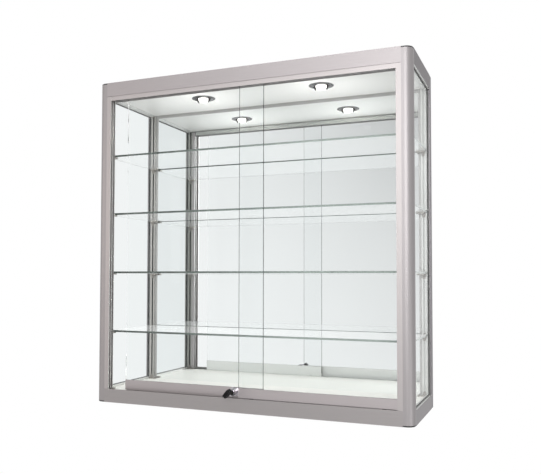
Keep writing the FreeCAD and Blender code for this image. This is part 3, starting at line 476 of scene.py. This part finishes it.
blend = add(tree, "ShaderNodeMixShader", {
    0: white_share.outputs[0], 1: principled(floor_paint).outputs[0], 2: white.outputs[0]})
fill(tree.nodes["Material Output"], {"Surface": blend.outputs[0]})

# White room: a pale studio all round, which metal and glass show as white. In front of the case it has
# a slanting grey band that only mirrors and glass show. A ray's slope is its way sideways, plus
# BAND_TILT of its way up, over its way ahead: the band deepens as that grows, and then fades out.
BAND_TILT, BAND_STEEPNESS = 0.8, 4.5
BAND_LEVEL, BAND_DARKEST = 0.42, 0.5
FADE_FROM, FADE_TO = 0.1, 0.5
LEAST_AHEAD = 0.05
ROOM_LIGHT = 0.25
world = bpy.data.worlds.new("white_room")
bpy.context.scene.world = world
world.use_nodes = True
world.cycles.sampling_method = "NONE"
tree = world.node_tree
way = add(tree, "ShaderNodeSeparateXYZ", {0: add(tree, "ShaderNodeTexCoord", {}).outputs["Generated"]})
ahead = add(tree, "ShaderNodeMath", {0: way.outputs["Y"], 1: -1.0}, operation="MULTIPLY")
ahead = add(tree, "ShaderNodeMath", {0: ahead.outputs[0], 1: LEAST_AHEAD}, operation="MAXIMUM")
rise = add(tree, "ShaderNodeMath", {
    0: way.outputs["Z"], 1: BAND_TILT, 2: way.outputs["X"]}, operation="MULTIPLY_ADD")
slope = add(tree, "ShaderNodeMath", {0: rise.outputs[0], 1: ahead.outputs[0]}, operation="DIVIDE").outputs[0]
fade = add(tree, "ShaderNodeMapRange", {
    "Value": slope, "From Min": FADE_FROM, "From Max": FADE_TO, "To Min": 1.0, "To Max": 0.0}).outputs[0]
front = add(tree, "ShaderNodeMath", {0: way.outputs["Y"], 1: 0.0}, operation="LESS_THAN").outputs[0]
direct = add(tree, "ShaderNodeLightPath", {}).outputs["Is Camera Ray"]
mirrored = add(tree, "ShaderNodeMath", {0: 1.0, 1: direct}, operation="SUBTRACT").outputs[0]
band = add(tree, "ShaderNodeMath", {0: slope, 1: BAND_STEEPNESS}, operation="MULTIPLY").outputs[0]
band = add(tree, "ShaderNodeMath", {0: band}, operation="EXPONENT").outputs[0]
for operation, amount in (
    ("MULTIPLY", BAND_LEVEL),
    ("MINIMUM", BAND_DARKEST),
    ("MULTIPLY", fade),
    ("MULTIPLY", front),
    ("MULTIPLY", mirrored),
):
    band = add(tree, "ShaderNodeMath", {0: band, 1: amount}, operation=operation).outputs[0]
room_white = add(tree, "ShaderNodeMath", {0: 1.0, 1: band}, operation="SUBTRACT")
strength = add(tree, "ShaderNodeMapRange", {
    "Value": seen_ray(tree), "To Min": ROOM_LIGHT, "To Max": room_white.outputs[0]})
fill(tree.nodes["Background"], {"Color": linear("FFFFFF"), "Strength": strength.outputs[0]})

# Softboxes: plain studio lights round the case, each aimed at a place on it.
# Places, aims and sizes are in metres, and powers in watts. They aren't seen through the glass.
for name, place, aim, size, power, tint in (
    ("key_softbox", (0.8, -2.4, 0.55), (0.3, -0.33, 0.4), (1.2, 1.4), 38.0, "FFFFFF"),
    ("top_softbox", (-0.4, -2.3, 1.6), (0.0, -0.33, 0.4), (1.4, 0.7), 10.0, "FFFFFF"),
    ("fill_softbox", (-2.6, -2.3, 0.3), (-0.5, -0.33, 0.1), (1.2, 1.2), 11.5, "FFEEE4"),
    ("low_strip", (2.1, -1.15, -0.85), (0.49, -0.33, -0.45), (0.3, 0.8), 5.0, "FFFFFF"),
    ("overhead_softbox", (-0.25, 0.1, 2.4), (-0.1, -0.1, 0.5), (1.2, 0.6), 19.0, "FFFFFF"),
    ("back_softbox", (-0.4, 2.6, 0.9), (-0.1, 0.0, 0.0), (1.4, 1.0), 27.0, "FFFFFF"),
):
    light = bpy.data.lights.new(name, "AREA")
    light.shape = "RECTANGLE"
    light.size, light.size_y = size
    light.energy = power
    light.color = linear(tint)[:3]
    softbox = bpy.data.objects.new(name, light)
    bpy.context.scene.collection.objects.link(softbox)
    softbox.location = place
    softbox.rotation_euler = (Vector(aim) - Vector(place)).to_track_quat("-Z", "Y").to_euler()
    softbox.visible_transmission = False

# Camera: where the photograph was taken from, a little right of the case and below its middle.
# Its place is in metres, its turns in degrees, and the focal length and centre in photograph pixels.
WIDTH_PX, HEIGHT_PX = 541, 474
FOCAL_PX, CENTRE_PX = 701.22, (244.41, 252.65)
CAMERA_PLACE = (0.8227, -2.2170, -0.1215)
YAW, PITCH, ROLL = 23.283, 2.2, 0.177
SENSOR_MM = 36.0
optics = bpy.data.cameras.new("photo_camera")
optics.sensor_width = SENSOR_MM
optics.lens = FOCAL_PX / WIDTH_PX * SENSOR_MM
optics.shift_x = (WIDTH_PX / 2 - CENTRE_PX[0]) / WIDTH_PX
optics.shift_y = (CENTRE_PX[1] - HEIGHT_PX / 2) / WIDTH_PX
camera = bpy.data.objects.new("photo_camera", optics)
bpy.context.scene.collection.objects.link(camera)
camera.location = CAMERA_PLACE
turn = Euler((math.radians(90 + PITCH), 0, math.radians(YAW))).to_matrix()
camera.rotation_euler = (turn @ Matrix.Rotation(math.radians(ROLL), 3, "Z")).to_euler()
bpy.context.scene.camera = camera
bpy.context.scene.view_settings.view_transform = "Standard"

# Rays pass many panes and mirrored panes before they end, and reflections stay sharp.
PANE_BOUNCES, MIRROR_BOUNCES = 32, 8
bpy.context.scene.cycles.max_bounces = PANE_BOUNCES
bpy.context.scene.cycles.transmission_bounces = PANE_BOUNCES
bpy.context.scene.cycles.glossy_bounces = MIRROR_BOUNCES
bpy.context.scene.cycles.blur_glossy = 0.0
